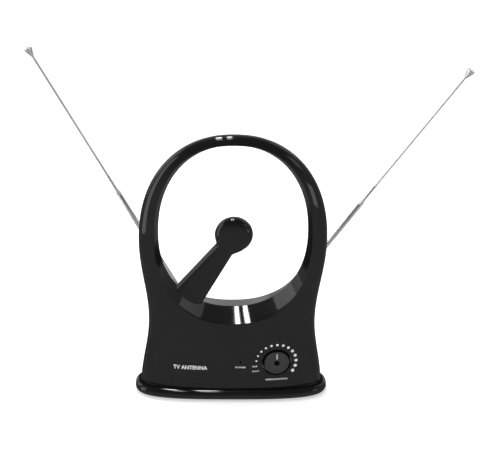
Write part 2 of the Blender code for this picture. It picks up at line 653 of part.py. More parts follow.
# ---------------------------------------------------------------- rods
def build_rod(name, mats):
    side = -1 if name == "left" else 1
    splay = SPLAY[name]
    pivot = Vector((side * PIVOT_X, PIVOT_Y, PIVOT_Z))
    along = Vector((math.sin(splay), 0.0, math.cos(splay)))
    pin_axis = Vector((math.cos(splay), 0.0, -math.sin(splay)))
    back = Vector((0.0, 1.0, 0.0))
    seat = Vector((side * PIVOT_X, 0.0, PIVOT_Z))

    turret = add_object("swivel_" + name,
                        [revolve([(3.0, 14.6), (3.0, 22.3), (9.0, 22.3), (9.0, 24.4), (8.2, 25.2)],
                                 seat, back, 24)], mats["turret"], origin=tuple(seat + back * 22.3))
    cheeks = []
    for s in (-1, 1):
        outline = [(-4.0, 24.0), (4.0, 24.0)]
        outline += [(4.0 * math.cos(math.radians(a)), PIVOT_Y + 4.0 * math.sin(math.radians(a)))
                    for a in range(0, 181, 30)]
        rings = [[tuple(seat + along * u + back * y + pin_axis * s * w) for u, y in outline]
                 for w in (2.5, 5.2)]
        cheeks.append(rings_to_solid(rings))
    boolean(turret, "UNION", "cheeks", cheeks)
    boolean(turret, "DIFFERENCE", "bores",
            [cylinder(1.55, pivot - pin_axis * 7, pivot + pin_axis * 7, 16),
             cylinder(1.3, seat + back * 13, seat + back * 20.5, 12)])
    add_object("swivel_washer_" + name, [tube(6.4, 1.6, seat + back * 14.3, seat + back * 13.3, 16, 0.1)],
               mats["zinc"], origin=tuple(seat + back * 13.3))
    add_object("swivel_screw_" + name, [screw(2.9, 1.9, 1.1, seat + back * 13.0, seat + back * 19.8)],
               mats["zinc"], origin=tuple(seat + back * 13.0))
    add_object("hinge_pin_" + name,
               [revolve([(1.6, -7.0), (2.3, -6.5), (2.3, -5.5), (1.3, -5.5), (1.3, 5.5), (2.3, 5.5),
                         (2.3, 6.5), (1.6, 7.0)], pivot, pin_axis, 12)], mats["zinc"],
               origin=tuple(pivot))

    # knuckle: flat eye round the pin, then a round neck and plug inside the first tube
    knuckle = add_object("rod_knuckle_" + name,
                         [cylinder(3.5, pivot - pin_axis * 2.2, pivot + pin_axis * 2.2, 20)],
                         mats["brass"], origin=tuple(pivot))
    boolean(knuckle, "UNION", "neck",
            [revolve([(2.1, 2.4), (2.1, 4.2), (2.5, 4.8), (2.5, 8.0), (1.95, 8.0), (1.95, 16.0)],
                     pivot, along, 14)])
    boolean(knuckle, "DIFFERENCE", "eye",
            [cylinder(1.6, pivot - pin_axis * 4, pivot + pin_axis * 4, 16)])
    for i, (outer, inner, start, end) in enumerate((TUBE_1, TUBE_2, TUBE_3), 1):
        place = pivot + along * start
        add_object("rod_tube_%d_%s" % (i, name),
                   [tube(outer, inner, place, pivot + along * end, 14)], mats["chrome"],
                   origin=tuple(pivot if i == 1 else place))
    radius, start, end = WIRE
    add_object("rod_wire_" + name,
               [revolve([(0.9 * radius, 0.0), (1.1, 0.4), (1.1, 3.0), (radius, 3.4),
                         (radius, end - start)], pivot + along * start, along, 10)],
               mats["chrome"], origin=tuple(pivot + along * start))
    low, high = TIP
    add_object("rod_tip_" + name,
               [revolve([(1.25, low), (1.8, low), (2.4, low + 2.4), (3.2, low + 4.8), (3.9, low + 7.2),
                         (4.0, high - 0.8), (3.7, high), (0.01, high), (0.01, low + 6.3), (1.25, low + 6.3)],
                        pivot, along, 18, closed=True)], mats["chrome"],
               origin=tuple(pivot + along * low))


def main():
    for obj in list(bpy.data.objects):
        bpy.data.objects.remove(obj, do_unlink=True)
    mats = {
        "black": material("gloss_black_abs", (0.018, 0.018, 0.019), roughness=0.18),
        "knob": material("knob_abs", (0.03, 0.03, 0.032), roughness=0.3),
        "turret": material("swivel_nylon", (0.02, 0.02, 0.02), roughness=0.45),
        "rubber": material("pad_rubber", (0.03, 0.03, 0.03), roughness=0.9),
        "steel": material("ballast_steel", (0.35, 0.34, 0.33), 1.0, 0.55),
        "zinc": material("zinc_plated_steel", (0.62, 0.63, 0.65), 1.0, 0.35),
        "chrome": material("chrome_plate", (0.8, 0.8, 0.82), 1.0, 0.12),
        "brass": material("nickel_plated_brass", (0.7, 0.66, 0.55), 1.0, 0.25),
        "copper": material("tinned_copper", (0.72, 0.45, 0.3), 1.0, 0.35),
        "board": material("circuit_board", (0.02, 0.12, 0.05), roughness=0.5),
        "tin": material("tinned_steel", (0.6, 0.61, 0.6), 1.0, 0.35),
        "jack": material("jack_nylon", (0.02, 0.02, 0.022), roughness=0.5),
        "lens": material("clear_lens", (0.5, 0.08, 0.06), roughness=0.2),
        "lead": material("lead_insulation", (0.25, 0.03, 0.03), roughness=0.5),
        "print": material("white_paint", (0.8, 0.8, 0.8), roughness=0.5),
    }
    build_shells(mats["black"])
    build_shell_screws(mats["zinc"])
    build_base(mats["black"], mats["rubber"], mats["steel"], mats["zinc"])
    build_arm(mats["black"], mats["copper"], mats["zinc"])
    build_electronics(mats)
    build_gain_control(mats)
    for name in ("left", "right"):
        build_rod(name, mats)


main()
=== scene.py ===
"""Visual model of the amplified indoor TV antenna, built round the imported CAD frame.

Lengths are millimetres in the helpers and become metres in new_piece.
"""
import json
import math

import bmesh
import bpy
from mathutils import Matrix, Vector

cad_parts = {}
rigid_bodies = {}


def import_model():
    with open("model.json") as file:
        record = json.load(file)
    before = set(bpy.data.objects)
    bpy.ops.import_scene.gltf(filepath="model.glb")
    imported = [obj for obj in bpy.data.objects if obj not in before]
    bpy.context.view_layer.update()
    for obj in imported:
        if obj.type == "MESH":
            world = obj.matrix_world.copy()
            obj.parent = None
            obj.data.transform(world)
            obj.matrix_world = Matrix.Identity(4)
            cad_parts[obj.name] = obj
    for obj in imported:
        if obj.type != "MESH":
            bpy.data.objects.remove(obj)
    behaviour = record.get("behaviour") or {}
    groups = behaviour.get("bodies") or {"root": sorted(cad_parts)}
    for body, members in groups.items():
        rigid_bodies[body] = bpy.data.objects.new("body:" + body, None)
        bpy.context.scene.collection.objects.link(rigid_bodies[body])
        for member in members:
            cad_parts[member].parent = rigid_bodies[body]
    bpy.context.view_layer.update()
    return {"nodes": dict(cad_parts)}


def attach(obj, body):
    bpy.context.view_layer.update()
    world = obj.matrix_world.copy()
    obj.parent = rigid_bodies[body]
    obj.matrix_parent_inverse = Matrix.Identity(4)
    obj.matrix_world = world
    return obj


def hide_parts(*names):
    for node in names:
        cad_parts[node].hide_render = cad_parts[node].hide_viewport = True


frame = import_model()

MM = 0.001
GAP = 0.3
WALL = 2.2
BODY = "antenna_body"

# body outline and dome, the same rules as the CAD shells
FOOT_Z, TOP_Z = 13.3, 295.3
RING_Z, RING_HALF = 178.0, 95.2
WAIST_Z, WAIST_HALF = 89.0, 86.3
FOOT_HALF, FLARE_DROP = 95.7, 84.0
FOOT_DEPTH, TOP_DEPTH = 21.5, 17.0
OUTLINE_POWER, DOME_POWER = 2.2, 2.5
HOLE_Z = 186.7
HOLE_HALF, HOLE_UP, HOLE_DOWN, HOLE_POWER = 75.4, 97.3, 85.1, 2.2
EDGE_HALF, EDGE_UP, EDGE_DOWN, EDGE_POWER = 79.5, 100.6, 94.7, 2.3
REAR_EDGE_DOWN = 89.0
PLAN_POWER = 3.0
BEAD, BEAD_Z = 6.1, 6.9
PAD_HALF, PAD_DEPTH = 62.0, 12.0
DISC_X, DISC_Z, DISC_R, DISC_DEPTH = 0.8, 186.0, 19.2, 8.0
ARM_DEPTH, ARM_LEAN, ARM_REACH = 6.3, math.radians(34.7), 70.0
DIAL_X, DIAL_Z, DIAL_YAW = 46.9, 45.1, math.radians(5.3)
KNOB_R, WELL_R, WELL_DEPTH = 14.7, 15.3, 6.0
DOT_COUNT, DOT_RING, DOT_SHIFT = 15, 20.95, -0.45
SLOT_REACH = 86.0
PIVOT_X, PIVOT_Y, PIVOT_Z = 34.9, 32.0, 65.0
SPLAY = {"left": math.radians(-28.3), "right": math.radians(34.4)}
TUBES = {1: (2.60, 2.25, 8.3, 172.0), 2: (2.00, 1.70, 19.0, 174.0), 3: (1.45, 1.20, 44.0, 196.0)}
ROD_START, ROD_END, TIP_END = 180.0, 338.5, 348.0
SHELL_SCREWS = [(-80.0, 42.0), (80.0, 42.0), (-72.0, 96.0), (72.0, 96.0)]
BOTTOM_SCREW_X, BOTTOM_SCREW_Y = 76.0, 6.5
LED_X, LED_Z = 9.3, 45.1
COAX_X, COAX_Z = -10.0, 34.0
JACK_X, JACK_Z = 12.0, 32.0


# ---------------------------------------------------------------- node materials
def shader_material(name, roughness=0.4, metallic=0.0, **sockets):
    mat = bpy.data.materials.new(name)
    mat.use_nodes = True
    shader = mat.node_tree.nodes["Principled BSDF"]
    shader.inputs["Roughness"].default_value = roughness
    shader.inputs["Metallic"].default_value = metallic
    for key, value in sockets.items():
        shader.inputs[key.replace("_", " ")].default_value = value
    return mat, mat.node_tree, shader


def coords(tree, scale=(1.0, 1.0, 1.0)):
    nodes, links = tree.nodes, tree.links
    texture = nodes.new("ShaderNodeTexCoord")
    mapping = nodes.new("ShaderNodeMapping")
    mapping.inputs["Scale"].default_value = scale
    links.new(texture.outputs["Object"], mapping.inputs["Vector"])
    return mapping.outputs["Vector"]


def noise(tree, vector, scale, detail=3.0, rough=0.55):
    node = tree.nodes.new("ShaderNodeTexNoise")
    node.inputs["Scale"].default_value = scale
    node.inputs["Detail"].default_value = detail
    node.inputs["Roughness"].default_value = rough
    tree.links.new(vector, node.inputs["Vector"])
    return node.outputs["Fac"]


def ramp(tree, factor, stops):
    """Colour ramp; a stop is (position, colour) with a number or an RGB triple as its colour."""
    node = tree.nodes.new("ShaderNodeValToRGB")
    elements = node.color_ramp.elements
    while len(elements) < len(stops):
        elements.new(0.5)
    for element, (position, colour) in zip(elements, stops):
        element.position = position
        rgb = (colour,) * 3 if isinstance(colour, (int, float)) else colour
        element.color = (*rgb, 1.0)
    tree.links.new(factor, node.inputs["Fac"])
    return node.outputs["Color"]


def bump(tree, shader, height, strength, distance):
    node = tree.nodes.new("ShaderNodeBump")
    node.inputs["Strength"].default_value = strength
    node.inputs["Distance"].default_value = distance
    tree.links.new(height, node.inputs["Height"])
    tree.links.new(node.outputs["Normal"], shader.inputs["Normal"])


def plastic(name, dark, light, gloss, grain_scale, grain, ior=1.45):
    """Moulded plastic: faint tone drift, uneven gloss and a fine surface ripple."""
    mat, tree, shader = shader_material(name, IOR=ior)
    vector = coords(tree)
    drift = noise(tree, vector, 18.0)
    tree.links.new(ramp(tree, drift, [(0.3, dark), (0.7, light)]), shader.inputs["Base Color"])
    wipe = noise(tree, vector, 60.0, 5.0)
    tree.links.new(ramp(tree, wipe, [(0.3, gloss[0]), (0.75, gloss[1])]), shader.inputs["Roughness"])
    bump(tree, shader, noise(tree, vector, grain_scale, 2.0), grain, 0.0002)
    return mat


def metal(name, dark, light, gloss, stretch=(1.0, 1.0, 1.0), scale=300.0, strength=0.05):
    """Metal with fine lines; stretch sets their direction."""
    mat, tree, shader = shader_material(name, metallic=1.0)
    vector = coords(tree, stretch)
    lines = noise(tree, vector, scale, 4.0)
    tree.links.new(ramp(tree, lines, [(0.3, dark), (0.7, light)]), shader.inputs["Base Color"])
    tree.links.new(ramp(tree, lines, [(0.25, gloss[0]), (0.8, gloss[1])]), shader.inputs["Roughness"])
    bump(tree, shader, lines, strength, 0.0001)
    return mat


def make_materials():
    m = {}
    m["gloss"] = plastic("gloss_black", (0.0066, 0.0070, 0.0066), (0.0082, 0.0086, 0.0081),
                         (0.045, 0.085), 420.0, 0.012, 1.45)
    m["knob"] = plastic("knob_black", (0.030, 0.030, 0.031), (0.042, 0.042, 0.043),
                        (0.28, 0.40), 900.0, 0.08, 1.45)
    # painted shade: near-black with almost no reflection, laid on the knob's skirt, the dimple fill and the
    # plinth's gap line so they read as shadow
    m["recess"] = plastic("recess_black", (0.002, 0.002, 0.002), (0.004, 0.004, 0.004),
                          (0.55, 0.65), 800.0, 0.1, 1.1)
    m["satin"] = plastic("satin_black", (0.012, 0.012, 0.012), (0.02, 0.02, 0.02),
                         (0.42, 0.55), 1500.0, 0.25)
    m["rubber"] = plastic("pad_rubber", (0.02, 0.02, 0.02), (0.035, 0.035, 0.034),
                          (0.75, 0.9), 900.0, 0.5)
    m["print"] = plastic("white_print", (0.78, 0.78, 0.77), (0.88, 0.88, 0.87), (0.42, 0.5), 2500.0, 0.1)
    # painted shade: a dimmer copy of the print white for the pointer line, standing in for the shade of its
    # groove
    m["faded"] = plastic("faded_white", (0.48, 0.48, 0.48), (0.60, 0.60, 0.59), (0.35, 0.45), 1500.0, 0.1)
    m["lens"] = plastic("smoked_lens", (0.002, 0.001, 0.001), (0.004, 0.001, 0.001),
                        (0.35, 0.45), 300.0, 0.02, 1.1)
    m["chrome"] = metal("chrome", (0.84, 0.84, 0.84), (0.92, 0.92, 0.92), (0.20, 0.3), scale=220.0)
    m["zinc"] = metal("zinc_plate", (0.5, 0.5, 0.5), (0.66, 0.66, 0.64), (0.28, 0.42), scale=500.0)
    m["steel"] = metal("raw_steel", (0.28, 0.27, 0.26), (0.42, 0.41, 0.4), (0.4, 0.6),
                       (1, 12, 12), 120.0, 0.2)
    m["brass"] = metal("nickel_brass", (0.55, 0.52, 0.44), (0.66, 0.63, 0.55), (0.2, 0.3), scale=400.0)
    m["copper"] = metal("tinned_copper", (0.55, 0.36, 0.26), (0.68, 0.46, 0.34), (0.25, 0.4),
                        (3, 3, 3), 200.0)
    m["tin"] = metal("tinned_steel", (0.5, 0.5, 0.5), (0.62, 0.62, 0.61), (0.25, 0.45), (1, 1, 6), 150.0)
    m["board"] = plastic("solder_mask", (0.008, 0.06, 0.022), (0.015, 0.09, 0.035), (0.25, 0.4), 500.0, 0.15)
    m["lead"] = plastic("lead_insulation", (0.2, 0.02, 0.02), (0.26, 0.03, 0.03), (0.4, 0.5), 800.0, 0.1)
    return m


# ---------------------------------------------------------------- mesh helpers
def new_piece(name, solids, mat, body=BODY, replaces=(), sharp=35.0, origin=(0, 0, 0)):
    verts, faces = [], []
    for solid_verts, solid_faces in solids:
        base = len(verts)
        verts += [(Vector(v) - Vector(origin)) * MM for v in solid_verts]
        faces += [tuple(base + i for i in face) for face in solid_faces]
    mesh = bpy.data.meshes.new(name)
    mesh.from_pydata(verts, [], faces)
    mesh.materials.append(mat)
    mesh.shade_smooth()
    mesh.set_sharp_from_angle(angle=math.radians(sharp))
    obj = bpy.data.objects.new(name, mesh)
    obj.location = Vector(origin) * MM
    bpy.context.scene.collection.objects.link(obj)
    if body:
        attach(obj, body)
    if replaces:
        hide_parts(*replaces)
    return obj


def apply_boolean(obj, operation, solids):
    """Join or cut solids with an exact Boolean and apply it."""
    verts, faces = [], []
    for solid_verts, solid_faces in solids:
        base = len(verts)
        verts += [Vector(v) * MM - obj.location for v in solid_verts]
        faces += [tuple(base + i for i in face) for face in solid_faces]
    mesh = bpy.data.meshes.new("tool")
    mesh.from_pydata(verts, [], faces)
    tool = bpy.data.objects.new("tool", mesh)
    tool.location = obj.location
    bpy.context.scene.collection.objects.link(tool)
    mod = obj.modifiers.new("cut", "BOOLEAN")
    mod.operation, mod.solver, mod.object = operation, "EXACT", tool
    graph = bpy.context.evaluated_depsgraph_get()
    result = bpy.data.meshes.new_from_object(obj.evaluated_get(graph))
    obj.modifiers.clear()
    old = obj.data
    obj.data = result
    result.shade_smooth()
    result.set_sharp_from_angle(angle=math.radians(35.0))
    bpy.data.objects.remove(tool, do_unlink=True)
    bpy.data.meshes.remove(old)


def outward(verts, faces):
    volume = 0.0
    for face in faces:
        a = Vector(verts[face[0]])
        for i in range(1, len(face) - 1):
            volume += a.dot(Vector(verts[face[i]]).cross(Vector(verts[face[i + 1]])))
    if volume < 0:
        faces = [tuple(reversed(face)) for face in faces]
    return verts, faces


def rings_to_solid(rings, closed=False):
    n = len(rings[0])
    verts = [p for ring in rings for p in ring]
    faces = []
    spans = len(rings) if closed else len(rings) - 1
    for i in range(spans):
        a, b = i * n, ((i + 1) % len(rings)) * n
        for j in range(n):
            k = (j + 1) % n
            faces.append((a + j, a + k, b + k, b + j))
    if not closed:
        faces.append(tuple(reversed(range(n))))
        faces.append(tuple(range((len(rings) - 1) * n, len(rings) * n)))
    return outward(verts, faces)


def frame_of(axis):
    axis = Vector(axis).normalized()
    side = axis.orthogonal().normalized()
    return side, axis.cross(side), axis


def revolve(profile, centre, axis, n=64, closed=False):
    side, other, axis = frame_of(axis)
    centre = Vector(centre)
    rings = []
    for radius, height in profile:
        rings.append([tuple(centre + axis * height
                            + (side * math.cos(2 * math.pi * i / n)
                               + other * math.sin(2 * math.pi * i / n)) * radius)
                      for i in range(n)])
    return rings_to_solid(rings, closed=closed)


def cylinder(radius, start, end, n=48):
    start, end = Vector(start), Vector(end)
    return revolve([(radius, 0.0), (radius, (end - start).length)], start, end - start, n)


def box(x, y, z, turn=None, about=(0.0, 0.0, 0.0)):
    verts = [(a, b, c) for a in x for b in y for c in z]
    if turn is not None:
        verts = [tuple(turn @ (Vector(v) - Vector(about)) + Vector(about)) for v in verts]
    faces = [(0, 1, 3, 2), (4, 6, 7, 5), (0, 4, 5, 1), (2, 3, 7, 6), (0, 2, 6, 4), (1, 5, 7, 3)]
    return outward(verts, faces)


def bend(a, b, c, steps=4):
    """Rounded corner from a to c, pulled towards b."""
    points = []
    for i in range(steps + 1):
        t = i / steps
        points.append(tuple((1 - t) ** 2 * p + 2 * t * (1 - t) * q + t * t * r
                            for p, q, r in zip(a, b, c)))
    return points


# ---------------------------------------------------------------- body shape
def half_width(z, inset=0.0):
    if z > WAIST_Z:
        middle, swing = (RING_HALF + WAIST_HALF) / 2, (RING_HALF - WAIST_HALF) / 2
        value = middle + swing * math.cos(math.pi * (RING_Z - z) / (RING_Z - WAIST_Z))
    else:
        middle, swing = (FOOT_HALF + WAIST_HALF) / 2, (FOOT_HALF - WAIST_HALF) / 2
        value = middle - swing * math.cos(math.pi * (WAIST_Z - z) / FLARE_DROP)
    return value - inset


def rim_ratio(x, z, inset=0.0):
    if z <= RING_Z:
        return abs(x) / half_width(z, inset)
    across = (abs(x) / (RING_HALF - inset)) ** OUTLINE_POWER
    up = ((z - RING_Z) / (TOP_Z - RING_Z - inset)) ** OUTLINE_POWER
    return (across + up) ** (1 / OUTLINE_POWER)


def depth(x, z, inset=0.0):
    full = FOOT_DEPTH + (TOP_DEPTH - FOOT_DEPTH) * (z - FOOT_Z) / (TOP_Z - FOOT_Z)
    ratio = min(rim_ratio(x, z, inset), 1.0)
    return (full - inset) * (1.0 - ratio ** DOME_POWER) ** (1 / DOME_POWER)


def opening_radius(angle, edge, side=-1):
    x, z = math.sin(angle), -math.cos(angle)
    if edge:
        down = EDGE_DOWN if side < 0 else REAR_EDGE_DOWN
        a, b, power = EDGE_HALF, EDGE_UP if z > 0 else down, EDGE_POWER
    else:
        a, b, power = HOLE_HALF, HOLE_UP if z > 0 else HOLE_DOWN, HOLE_POWER
    return ((abs(x) / a) ** power + (abs(z) / b) ** power) ** (-1 / power)


def ray_point(angle, radius):
    return math.sin(angle) * radius, HOLE_Z - math.cos(angle) * radius


def outline_radius(angle, inset=0.0):
    foot = (HOLE_Z - FOOT_Z) / math.cos(angle) if math.cos(angle) > 0 else 1e9
    low, high = 60.0, 240.0
    for _ in range(40):
        mid = (low + high) / 2
        x, z = ray_point(angle, mid)
        if mid >= foot or rim_ratio(x, z, inset) > 1.0:
            high = mid
        else:
            low = mid
    return (low + high) / 2


def at_foot(angle):
    corner = math.atan2(half_width(FOOT_Z), HOLE_Z - FOOT_Z)
    turned = (angle + math.pi) % (2 * math.pi) - math.pi
    return abs(turned) < corner - 1e-6


def shell_half(side, foot_steps=64, ring_steps=190, face_steps=26, inner_steps=8):
    """Half of the body as a closed skin with its wall thickness."""
    corner = math.atan2(half_width(FOOT_Z), HOLE_Z - FOOT_Z)
    half = foot_steps // 2
    angles = [math.atan2(half_width(FOOT_Z) * math.sin(math.pi / 2 * i / half), HOLE_Z - FOOT_Z)
              for i in range(-half, half)]
    angles += [corner + 2 * (math.pi - corner) * i / ring_steps for i in range(ring_steps)]
    rings = []
    for angle in angles:
        foot = at_foot(angle)
        hole, edge = opening_radius(angle, False), opening_radius(angle, True, side)
        rim = outline_radius(angle)

        def skin(radius):
            return radius, depth(*ray_point(angle, radius))

        lip = skin(edge)
        run = min(0.5, 0.2 * (rim - edge))
        wall_length = math.hypot(edge - hole, lip[1])
        back = (lip[0] + 0.5 * (hole - lip[0]) / wall_length, lip[1] - 0.5 * lip[1] / wall_length)
        points = [(hole + 0.15, 0.0), (hole, 0.25)]
        points += [(hole + (back[0] - hole) * t, 0.25 + (back[1] - 0.25) * t)
                   for t in (0.2, 0.4, 0.6, 0.8)]
        points += bend(back, lip, skin(edge + run))
        start = edge + run
        for k in range(1, face_steps + 1):
            radius = start + (rim - start) * math.sin(math.pi / 2 * k / face_steps)
            points.append(skin(radius) if foot or k < face_steps else (rim, 0.0))
        rim_in = outline_radius(angle, WALL)
        if not foot:
            rim_in = min(rim_in, rim - 0.8 * WALL)
        for k in range(inner_steps, -1, -1):
            radius = edge + WALL + (rim_in - edge - WALL) * math.sin(math.pi / 2 * k / inner_steps)
            y = depth(*ray_point(angle, radius), WALL)
            points.append((radius, 0.0 if k == inner_steps and not foot else y))
        points.append((hole + WALL, 0.0))
        ring = []
        for radius, y in points:
            x, z = ray_point(angle, radius)
            ring.append((x, side * (GAP / 2 + y), z))
        rings.append(ring)
    return rings_to_solid(rings, closed=True)


def dial_point(height, across=0.0, up=0.0):
    centre = Vector((DIAL_X, -depth(DIAL_X, DIAL_Z) - GAP / 2, DIAL_Z))
    normal = Vector((math.sin(DIAL_YAW), -math.cos(DIAL_YAW), 0.0))
    right = Vector((math.cos(DIAL_YAW), math.sin(DIAL_YAW), 0.0))
    return centre + normal * height + right * across + Vector((0, 0, up))


DIAL_AXIS = dial_point(1.0) - dial_point(0.0)
DIAL_ORIGIN = tuple(dial_point(0.0))


def face_point(x, z, lift=0.0):
    """Point on the front face; lift is how far it stands proud."""
    return x, -(GAP / 2 + depth(x, z)) - lift, z


def arm_slot():
    """Slot through the opening's wall for the strip inside the arm."""
    turn = Matrix.Rotation(ARM_LEAN, 3, "Y")
    x, z = DISC_X - math.sin(ARM_LEAN) * SLOT_REACH, DISC_Z - math.cos(ARM_LEAN) * SLOT_REACH
    return box((x - 4.8, x + 4.8), (-0.75, 0.75), (z - 12.0, z + 12.0), turn, (x, 0.0, z))


def build_shells(m):
    front = new_piece("front_body", [shell_half(-1)], m["gloss"],
                      replaces=["front_shell"])
    apply_boolean(front, "UNION", [cylinder(WELL_R + 2.0, dial_point(-WELL_DEPTH - 2.0),
                                            dial_point(-1.1), 72)])
    lip = [(4.0, -WELL_DEPTH - 4.0), (4.0, -WELL_DEPTH), (WELL_R, -WELL_DEPTH), (WELL_R, -0.9)]
    lip += bend((WELL_R, -0.9), (WELL_R, -0.05), (WELL_R + 0.9, 0.05), 5)[1:]
    lip += [(WELL_R + 1.6, 0.4), (WELL_R + 3.0, 6.0)]
    apply_boolean(front, "DIFFERENCE", [
        revolve(lip, DIAL_ORIGIN, DIAL_AXIS, 96),
        cylinder(1.7, (LED_X, -24.0, LED_Z), (LED_X, -15.0, LED_Z), 32), arm_slot()])

    rear = new_piece("rear_body", [shell_half(1)], m["gloss"],
                     replaces=["rear_shell"])
    pads = []
    for s in (-1, 1):
        profile = [(10.5, 15.0), (10.5, 21.4)] + bend((10.5, 21.4), (10.5, 22.0), (9.9, 22.0), 4)[1:]
        pads.append(revolve(profile, (s * PIVOT_X, 0, PIVOT_Z), (0, 1, 0), 64))
    pads += [cylinder(4.6, (x, GAP / 2, z), (x, depth(abs(x) + 3.2, z) - 0.6, z), 32)
             for x, z in SHELL_SCREWS]
    apply_boolean(rear, "UNION", pads)
    cuts = [revolve([(1.6, -1.0), (1.6, 4.6), (3.3, 4.6), (3.3, 24.0)], (x, 0, z), (0, 1, 0), 40)
            for x, z in SHELL_SCREWS]
    cuts += [cylinder(3.3, (s * PIVOT_X, 10.0, PIVOT_Z), (s * PIVOT_X, 26.0, PIVOT_Z), 40)
             for s in (-1, 1)]
    cuts.append(cylinder(5.3, (COAX_X, 14.0, COAX_Z), (COAX_X, 26.0, COAX_Z), 48))
    cuts.append(cylinder(4.3, (JACK_X, 14.0, JACK_Z), (JACK_X, 26.0, JACK_Z), 48))
    cuts.append(arm_slot())
    apply_boolean(rear, "DIFFERENCE", cuts)


# ---------------------------------------------------------------- plinth
def plan(offset, z, half=None, deep=None, n=180):
    half = half_width(FOOT_Z) if half is None else half
    deep = FOOT_DEPTH if deep is None else deep
    points = []
    for i in range(n):
        t = 2 * math.pi * (i + 0.5) / n
        c, s = math.cos(t), math.sin(t)
        x = half * math.copysign(abs(c) ** (2 / PLAN_POWER), c)
        y = deep * math.copysign(abs(s) ** (2 / PLAN_POWER), s)
        nx = math.copysign(abs(x / half) ** (PLAN_POWER - 1) / half, x)
        ny = math.copysign(abs(y / deep) ** (PLAN_POWER - 1) / deep, y)
        size = math.hypot(nx, ny)
        points.append((x + offset * nx / size, y + offset * ny / size, z))
    return points


def build_plinth(m):
    low, high = BEAD_Z - BEAD, BEAD_Z + BEAD
    rings = [plan(0, 2.3, PAD_HALF + 0.4, PAD_DEPTH + 0.4), plan(0, low, PAD_HALF + 0.4, PAD_DEPTH + 0.4),
             plan(-1.5, low), plan(-0.4, low)]
    for i in range(19):
        t = math.radians(-84 + 168 * i / 18)
        rings.append(plan(BEAD * math.cos(t), BEAD_Z + BEAD * math.sin(t)))
    rings += [plan(-0.4, high), plan(-1.5, high), plan(-4.6, high), plan(-4.6, 4.3)]
    plinth = new_piece("plinth", [rings_to_solid(rings)], m["gloss"],
                       replaces=["base_plinth"])
    places = [(sx * BOTTOM_SCREW_X, sy * BOTTOM_SCREW_Y) for sx in (-1, 1) for sy in (-1, 1)]
    apply_boolean(plinth, "UNION", [cylinder(3.9, (x, y, 3.3), (x, y, high - 0.4), 24) for x, y in places])
    # painted shadow: a thin near-black band over the top of the bead, along the joint with the body,
    # standing in for the shade of the gap
    shadow_line = [plan(-1.4, high - 0.2), plan(-1.4, high + 0.12)]
    for radius, turns in ((BEAD + 0.12, (0, 6, 12, 18, 24)), (BEAD - 0.2, (24, 18, 12, 6, 0))):
        for turn in turns:
            t = math.radians(turn)
            shadow_line.append(plan(radius * math.sin(t), BEAD_Z + radius * math.cos(t)))
    new_piece("plinth_painted_shadow_line", [rings_to_solid(shadow_line, closed=True)], m["recess"])
    apply_boolean(plinth, "DIFFERENCE", [
        revolve([(3.2, -1.0), (3.2, 3.2), (1.7, 3.2), (1.7, 14.0)], (x, y, 0), (0, 0, 1), 32)
        for x, y in places])


# ---------------------------------------------------------------- arm and disc
def wall_reach(start, end, y, side):
    start, end = Vector(start), Vector(end)
    low, high = 0.0, 2.0
    for _ in range(30):
        mid = (low + high) / 2
        x, z = start + (end - start) * mid
        angle = math.atan2(x, HOLE_Z - z)
        hole, edge = opening_radius(angle, False), opening_radius(angle, True, side)
        full = depth(*ray_point(angle, edge))
        limit = hole + (edge - hole) * min(abs(y) / full, 1.0) - 0.05
        if math.hypot(x, HOLE_Z - z) > limit:
            high = mid
        else:
            low = mid
    return start + (end - start) * low


def blend_up(a, b, soft):
    """Larger of two values, with a rounded change-over."""
    return (a + b + math.hypot(a - b, soft)) / 2


def arm_edges(s):
    """Half-widths left and right of the arm's centre line, s below the disc's centre."""
    disc = math.sqrt(max(DISC_R ** 2 - s * s, 0.0))
    if s < 0:
        return disc, disc
    fade = min(s / 10.0, 1.0) ** 2
    left = blend_up(disc, 8.6 + 0.0885 * (s - 24.0), 3.0 * fade)
    right = blend_up(disc, 11.6 + 0.119 * (s - 24.0), 6.0 * fade)
    near = max(0.0, 1.0 - s / 6.0)
    return left + (disc - left) * near, right + (disc - right) * near


def arm_height(s, q, left, right):
    """Disc dome and arm crown melted into one surface."""
    ratio = math.hypot(s, q) / DISC_R
    dome = DISC_DEPTH * (1 - ratio ** DOME_POWER) ** (1 / DOME_POWER) if ratio < 1 else 0.0
    centre, half = (right - left) / 2, (right + left) / 2
    u = min(abs(q - centre) / half, 1.0)
    rise = min(max((s + 4.0) / 22.0, 0.0), 1.0)
    crown = ARM_DEPTH * rise * rise * (3 - 2 * rise) * (1 - u ** DOME_POWER) ** (1 / DOME_POWER)
    return (dome ** 5 + crown ** 5) ** 0.2


def arm_half(side):
    """Half of the disc and its arm, lofted from the disc's far rim to the opening's wall."""
    down = Vector((-math.sin(ARM_LEAN), -math.cos(ARM_LEAN)))
    across = Vector((math.cos(ARM_LEAN), -math.sin(ARM_LEAN)))
    centre = Vector((DISC_X, DISC_Z))
    places = [-DISC_R * math.cos(math.radians(1.0 + 3.0 * k)) for k in range(30)]
    places += [1.2 * k for k in range(1, 30)]
    places += [36.0 + (ARM_REACH - 36.0) * k / 16 for k in range(17)]
    rings = []
    for k, s in enumerate(places + [ARM_REACH + 22.0]):
        left, right = arm_edges(s)
        ring = []
        for i in range(49):
            u = math.sin(math.radians(-90 + 3.75 * i))
            q = (right - left) / 2 + u * (right + left) / 2
            y = arm_height(s, q, left, right)
            place = centre + down * s + across * q
            if k == len(places):
                low_left, low_right = arm_edges(ARM_REACH)
                start = centre + down * ARM_REACH
                start += across * ((low_right - low_left) / 2 + u * (low_right + low_left) / 2)
                place = wall_reach(start, place, y, side)
            ring.append((place.x, side * (GAP / 2 + y), place.y))
        rings.append(ring)
    return rings_to_solid(rings)


def build_arm(m):
    for name, node, side in (("arm_front", "arm_front_cover", -1), ("arm_rear", "arm_rear_cover", 1)):
        new_piece(name, [arm_half(side)], m["gloss"], replaces=[node], sharp=40)


